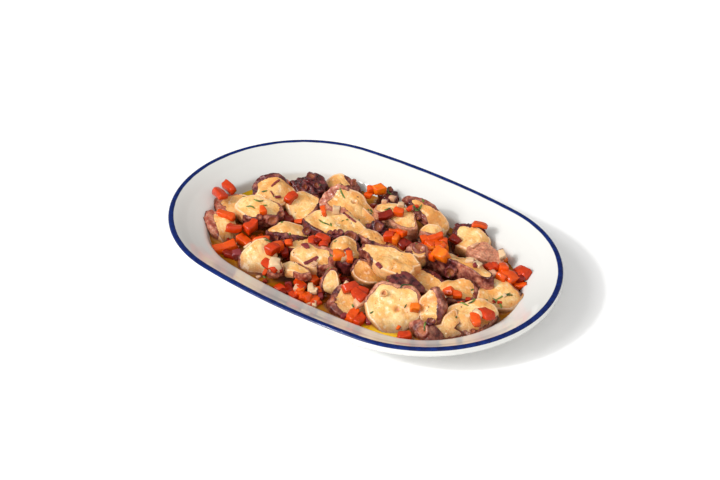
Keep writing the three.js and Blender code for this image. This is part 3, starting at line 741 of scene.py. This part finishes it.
# Loose bits: the piece, how many, smallest and largest in mm, range of tone
looseBits = [("redPepper", 90, 2.2, 4.5, (0.0, 0.9)), ("onionBits", 60, 1.6, 3.6, (0, 1)),
             ("orangePepper", 14, 2.2, 4.0, (0.5, 0.9))]


# Rounded, slightly bent and uneven blocks, all worked out at once: each is a unit block whose points are the
# sines and cosines of two angles raised to a small power, stretched to its size, bent along its length, then
# turned to its own axes and set at its middle
def blockPoints(middles, axes, sizes, rng, power=0.3, columns=16, rows=7):
    around = 2 * np.pi * np.arange(columns) / columns
    rise = np.radians(np.linspace(72, -72, rows))[:, None]
    soft = lambda value: np.sign(value) * np.abs(value) ** power
    shape = np.stack([soft(np.cos(rise)) * soft(np.cos(around)), soft(np.cos(rise)) * soft(np.sin(around)),
                      soft(np.sin(rise)) * np.ones(columns)], -1)
    unit = withPoles(shape)
    unit[0], unit[-1] = (0, 0, 1), (0, 0, -1)
    count = len(middles)
    points = unit[None] * np.ones((count, 1, 1))
    taper, skew, bend, twist = rng.uniform(-1, 1, (4, count, 1))
    points[..., 1] *= 1 + 0.22 * taper * points[..., 0]
    points[..., 0] += 0.16 * skew * points[..., 1] + 0.1 * twist * points[..., 2]
    points = points * sizes[:, None] / 2
    uneven = np.stack([waves(points + 9 * middles[:, None] / mm, 5.0, 90 + k, 8) for k in range(3)], -1)
    points += 0.07 * sizes.min(1)[:, None, None] * uneven
    points[..., 2] += 0.14 * bend * sizes[:, :1] * (unit[None, :, 0] ** 2 - 0.4)
    return abovePlatter(np.einsum("nij,npj->npi", axes, points * mm) + middles[:, None]), unit


# What the small pieces lie on: every surface made so far as one tree of faces
def surfaceTree(pieces):
    corners, faces = [], []
    for piece in pieces:
        start = len(corners)
        corners += [vertex.co for vertex in piece.data.vertices]
        faces += [[start + corner for corner in face.vertices] for face in piece.data.polygons]
    return BVHTree.FromPolygons(corners, faces)


# Axes of pieces lying on slopes: up is the slope's normal drawn towards the vertical, the length as turned
def lyingAxes(normals, turns, rng, tilt=0.12, upright=0.35):
    up = unitRows(normals * (1 - upright) + [0, 0, upright] + rng.normal(0, tilt, normals.shape))
    along = np.stack([np.cos(turns), np.sin(turns), 0 * turns], -1)
    along = unitRows(along - up * (along * up).sum(1)[:, None])
    return np.stack([along, np.cross(up, along), up], -1)


def pepperFinish():
    finish = Finish("wetPepper", Coat_Weight=0.3, Coat_Roughness=0.03, IOR=1.4, Specular_IOR_Level=0.3,
                    Subsurface_Weight=0.08, Subsurface_Radius=(1.0, 0.25, 0.08), Subsurface_Scale=0.002)
    tone = finish.value("tone") + (finish.noise(0.004, 2) - 0.5) * 0.7
    fine = finish.noise(0.0011, 3)
    colour = finish.layer((0.20, 0.007, 0.001), (tone.over(0.0, 0.5), (0.56, 0.036, 0.001)),
                          (tone.over(0.45, 1.0), (0.75, 0.084, 0.003)),
                          (tone.over(1.3, 1.9), (0.85, 0.205, 0.005)),
                          (fine.over(0.62, 0.75) * 0.4, (0.88, 0.20, 0.05)))
    return finish.show(Base_Color=colour, Roughness=fine * 0.2 + 0.06,
                       Normal=finish.bump(finish.noise(0.0024, 3), 0.0008, 0.5))


def onionFinish():
    finish = Finish("wetOnion", Coat_Weight=0.3, Coat_Roughness=0.05, IOR=1.4, Specular_IOR_Level=0.5,
                    Subsurface_Weight=0.2, Subsurface_Radius=(1.0, 0.5, 0.3), Subsurface_Scale=0.003)
    tone = finish.value("tone") + (finish.noise(0.005, 2) - 0.5) * 0.3
    end = finish.value("end") + (finish.noise(0.003, 2) - 0.5) * 0.4
    colour = finish.layer((0.70, 0.48, 0.28), (tone.over(0.2, 0.6), (0.66, 0.31, 0.18)),
                          (tone.over(0.6, 0.95), (0.21, 0.022, 0.025)),
                          (end.over(0.72, 0.9) * 0.85, (0.20, 0.020, 0.025)))
    return finish.show(Base_Color=colour, Roughness=finish.noise(0.002) * 0.2 + 0.08,
                       Normal=finish.bump(finish.noise(0.0016, 2), 0.0003, 0.5))


def herbFinish():
    finish = Finish("softHerb", Coat_Weight=0.5, Coat_Roughness=0.2, Specular_IOR_Level=0.4)
    shade = finish.noise(0.004, 2)
    colour = finish.blend(shade.over(0.3, 0.7), (0.022, 0.060, 0.006), (0.15, 0.24, 0.015))
    return finish.show(Base_Color=colour, Roughness=shade * 0.3 + 0.35,
                       Normal=finish.bump(finish.noise(0.001), 0.0002))


# Heights and normals where vertical lines from above meet the tree
def dropOn(tree, places, fallback=0.008):
    spots, normals = np.array(places, float), np.zeros((len(places), 3))
    for k, (x, y, _) in enumerate(places):
        hit, normal, _, _ = tree.ray_cast(Vector((x, y, 0.08)), Vector((0, 0, -1)))
        spots[k, 2] = hit.z if hit else fallback
        normals[k] = normal if hit and normal.z > 0 else (0, 0, 1)
    return spots, normals


# Random places inside an oval, dropped on what lies there
def scatter(rng, tree, count, halfLength, halfWidth):
    x, y = rng.uniform(-halfLength, halfLength, count), rng.uniform(-halfWidth, halfWidth, count)
    inside = (x / (halfLength + 0.002)) ** 2 + (y / (halfWidth + 0.002)) ** 2 < 1
    return dropOn(tree, np.stack([x, y, 0 * x], -1)[inside])


# Blocks in rows of numbers: place, normal, size in mm, turn and tone. Those of a pepper node lie on that node's
# own solid and the others on whatever is below them
def makeDice(tree):
    finishes = {"redPepper": pepperFinish(), "onionBits": onionFinish()}
    finishes["orangePepper"] = finishes["redPepper"]
    rng = np.random.default_rng(11)
    rows = {group: [] for group in ("redPepper", "orangePepper", "onionBits")}
    for key, laid in dice.items():
        node = nodeName(key)
        middle = nodeMiddle(node)
        own = None
        if node.startswith("pepper"):
            own = BVHTree.FromObject(bpy.data.objects[node], bpy.context.evaluated_depsgraph_get())
        for (group, tone), x, y, length, width, height, turn in laid:
            place = (middle.x + x * mm, middle.y + y * mm, 0)
            spots, normals = dropOn(tree, [place])
            rest = spots[0, 2] + (0.42 * height) * mm
            if own:
                hit = own.ray_cast(Vector((place[0], place[1], 0.08)), Vector((0, 0, -1)))[0]
                rest = max((hit.z if hit else middle.z) - 0.5 * height * mm, rest if hit is None else 0)
                normals = normals * 0.3 + np.array([0, 0, 0.7])
            rows[group].append((place[0], place[1], rest, *normals[0], length, width, height,
                                math.radians(turn), tone))
    # loose bits in the gaps and a few on the faces
    for group, count, small, large, tone in looseBits:
        spots, normals = scatter(rng, tree, count * 3, 0.122, 0.07)
        wanted = spots[:, 2] < rng.uniform(0.006, 0.019, len(spots))
        spots, normals = spots[wanted][:count], normals[wanted][:count]
        shape = rng.uniform(small, large, (len(spots), 1))
        sizes = shape * rng.uniform([1.0, 0.6, 0.4], [1.5, 1.0, 0.7], (len(spots), 3))
        spots[:, 2] += sizes[:, 2] * 0.35 * mm
        turns = rng.uniform(0, np.pi, (len(spots), 1))
        tones = rng.uniform(*tone, (len(spots), 1))
        rows[group] += np.concatenate([spots, normals, sizes, turns, tones], 1).tolist()
    for group, numbers in rows.items():
        numbers = np.array(numbers)
        axes = lyingAxes(numbers[:, 3:6], numbers[:, 9], rng)
        points, unit = blockPoints(numbers[:, :3], axes, numbers[:, 6:9], rng)
        tone = numbers[:, 10, None] * np.ones(len(unit)) + (orangeTone if group == "orangePepper" else 0)
        end = np.broadcast_to(unit[:, 0], tone.shape)
        others = [key for key in dice if str(key).startswith("pepper") and key not in orangeNodes]
        replaced = {"redPepper": others, "orangePepper": orangeNodes}.get(group, [])
        addPiece(group, points.reshape(-1, 3), blockFaces(len(numbers)), finishes[group],
                 {"tone": tone, "end": end}, replaced)
        print(group, "made:", len(numbers))


# Herb strands: the node each lies on, its middle from the node's middle in mm, turn, length in mm and bend
strands = [
    (2, 10, 4, -60, 9, 0.2), (3, -2, 2, 30, 9, 1.6), (3, 4, 1, 50, 6, 0.3), (3, -3, -6, 20, 8, -1.2),
    (4, 0, -8, 40, 5, 0.4), (8, -9, 1, -20, 8, 0.2), (10, -6, -5, -8, 13, 0.1), (25, 2, 14, 60, 14, -1.8),
    (29, -3, 6, 70, 8, 1.4), (29, -9, 2, -10, 13, 0.8), (30, 4, 0, 60, 12, 0.3), (30, 6, 2, 45, 9, -0.4),
    (30, 4, -7, -20, 14, -1.0), (13, -2, -6, 80, 8, 0.9), (13, -4, -9, 20, 6, -0.7),
    (12, -6, -4, 60, 6, 0.8), ("pepper_11", 3, 5, 60, 10, 1.3), (14, -8, -7, -20, 12, 0.2),
    (20, 3, 12, 60, 8, 0.5), (20, 6, 9, 50, 6, 0.4), (22, 0, -12, 40, 12, 1.6), (15, 13, 8, 10, 6, 0.6),
    (32, 1, -2, 120, 8, 0.2), (9, 2, 0, -20, 7, 0.8),
]
strandRadius = 0.0008
# Scattered flecks and specks: the piece, which of the scattered places it takes, its size in mm
scattered = [("herbFlecks", slice(0, 70), (3.2, 1.5, 0.6)), ("blackPepper", slice(70, 130), (1.1, 0.9, 0.6))]


# A flattened tube along a bent path laid on the surfaces: rings of points round the path's normals
def makeHerbs(tree):
    rings, sides = 16, 6
    share = np.linspace(-1, 1, rings)
    finish = herbFinish()
    points, faces = [], []
    for key, x, y, turn, length, bend in strands:
        middle = nodeMiddle(nodeName(key))
        angle = math.radians(turn) + share * bend * 0.5
        step = np.stack([np.cos(angle), np.sin(angle)], -1) * length * mm / rings
        path = np.cumsum(step, 0)
        path = path - path.mean(0) + [middle.x + x * mm, middle.y + y * mm]
        spots, normals = dropOn(tree, np.concatenate([path, np.zeros((rings, 1))], 1))
        for _ in range(3):
            spots[1:-1, 2] = np.maximum(spots[1:-1, 2], (spots[:-2, 2] + spots[2:, 2]) / 2)
        spots[:, 2] += 0.0004
        tangent = unitRows(np.gradient(spots, axis=0))
        side = unitRows(np.cross(tangent, [0, 0, 1.0]))
        top = np.cross(side, tangent)
        around = 2 * np.pi * np.arange(sides) / sides
        thin = (strandRadius * (1 - 0.75 * np.abs(share) ** 3))[:, None, None]
        tube = spots[:, None] + thin * (np.cos(around)[:, None] * side[:, None]
                                        + np.sin(around)[:, None] * top[:, None] * 0.6)
        start = sum(len(part) for part in points)
        points.append(withPoles(tube))
        faces += [[start + corner for corner in face] for face in closedFaces(rings, sides)]
    addPiece("herbStrands", np.concatenate(points), faces, finish)
    rng = np.random.default_rng(5)
    spots, normals = scatter(rng, tree, 260, 0.12, 0.068)
    materials = {"herbFlecks": finish, "blackPepper": speckFinish()}
    for name, part, size in scattered:
        chosen, tilts = spots[part].copy(), normals[part]
        sizes = np.array(size) * rng.uniform(0.5, 1.2, (len(chosen), 3))
        chosen[:, 2] += 0.0003
        axes = lyingAxes(tilts, rng.uniform(0, np.pi, len(chosen)), rng, upright=0.0, tilt=0.1)
        bits, _ = blockPoints(chosen, axes, sizes, rng, power=0.7, columns=8, rows=3)
        addPiece(name, bits.reshape(-1, 3), blockFaces(len(chosen), 8, 3), materials[name])
    print("herbs made")


def speckFinish():
    finish = Finish("groundPepper", Coat_Weight=0.3)
    shade = finish.noise(0.0005)
    return finish.show(Base_Color=finish.blend(shade, (0.008, 0.006, 0.005), (0.045, 0.025, 0.012)),
                       Roughness=shade * 0.3 + 0.4)


camera = {"azimuth": 37.59, "elevation": 35.1, "distance": 1.6454, "aside": -0.0017, "above": -0.00218,
          "lens": 109.9}
light = {"aside": -0.915, "away": -0.40, "elevation": 36.2, "strength": 1.8, "angle": 30,
         "sky": 0.70, "slope": 0.50, "sparkle": 0.9, "sparkleAngle": 3.5}


def cameraAxes():
    back = direction(camera["azimuth"] - 90, camera["elevation"])
    right = direction(camera["azimuth"])
    return right, back.cross(right), back


def stageCamera():
    right, above, back = cameraAxes()
    eye = placed("camera", bpy.data.cameras.new("camera"))
    eye.data.lens, eye.data.sensor_width = camera["lens"], 36
    eye.data.clip_end = 50
    place = Vector((0, 0, rimHeight)) + back * camera["distance"]
    place += right * camera["aside"] + above * camera["above"]
    eye.matrix_world = Matrix.Translation(place) @ Matrix((right, above, back)).transposed().to_4x4()
    bpy.context.scene.camera = eye


# A broad softbox as a wide sun, a narrow one for glints, and a pale room that is brighter on the near side
def stageLights():
    right, _, _ = cameraAxes()
    away = Vector((-right.y, right.x, 0))
    lift = math.radians(light["elevation"])
    level = (right * light["aside"] + away * light["away"]).normalized()
    towards = level * math.cos(lift) + Vector((0, 0, math.sin(lift)))
    for name, angle, strength in (("softbox", light["angle"], light["strength"]),
                                  ("sparkle", light["sparkleAngle"], light["sparkle"])):
        lamp = placed(name, bpy.data.lights.new(name, "SUN"))
        lamp.data.angle, lamp.data.energy = math.radians(angle), strength
        lamp.rotation_mode = "QUATERNION"
        lamp.rotation_quaternion = towards.to_track_quat("Z", "Y")
    world = bpy.data.worlds.new("studio")
    world.use_nodes = True
    nodes, links = world.node_tree.nodes, world.node_tree.links
    place = nodes.new("ShaderNodeTexCoord")
    slope = nodes.new("ShaderNodeVectorMath")
    slope.operation = "DOT_PRODUCT"
    slope.inputs[1].default_value = -away * light["slope"]
    total = nodes.new("ShaderNodeMath")
    total.operation, total.use_clamp = "ADD", False
    total.inputs[1].default_value = light["sky"]
    links.new(place.outputs["Generated"], slope.inputs[0])
    links.new(slope.outputs["Value"], total.inputs[0])
    links.new(total.outputs[0], nodes["Background"].inputs[1])
    nodes["Background"].inputs[0].default_value = (1.0, 0.995, 0.985, 1)
    bpy.context.scene.world = world
    bpy.context.scene.view_settings.view_transform = "Standard"


def stageFloor():
    shape = bpy.data.meshes.new("floor")
    shape.from_pydata([(-20, -20, 0), (20, -20, 0), (20, 20, 0), (-20, 20, 0)], [], [(0, 1, 2, 3)])
    finish = Finish("floorPaper", Base_Color=(0.98, 0.98, 0.98), Roughness=0.9)
    shape.materials.append(finish.material)
    placed("floor", shape)


stageCamera()
stageLights()
stageFloor()
makePlatter()
flesh = octopusFinish()
octopusPieces = makeOctopus(flesh)
makeCups(octopusPieces, flesh)
makeOil(octopusPieces.values())
laid = surfaceTree([*octopusPieces.values(), bpy.data.objects["suckerCups"],
                    bpy.data.objects["oilSurface"], bpy.data.objects["platterGlazed"]])
makeDice(laid)
makeHerbs(laid)
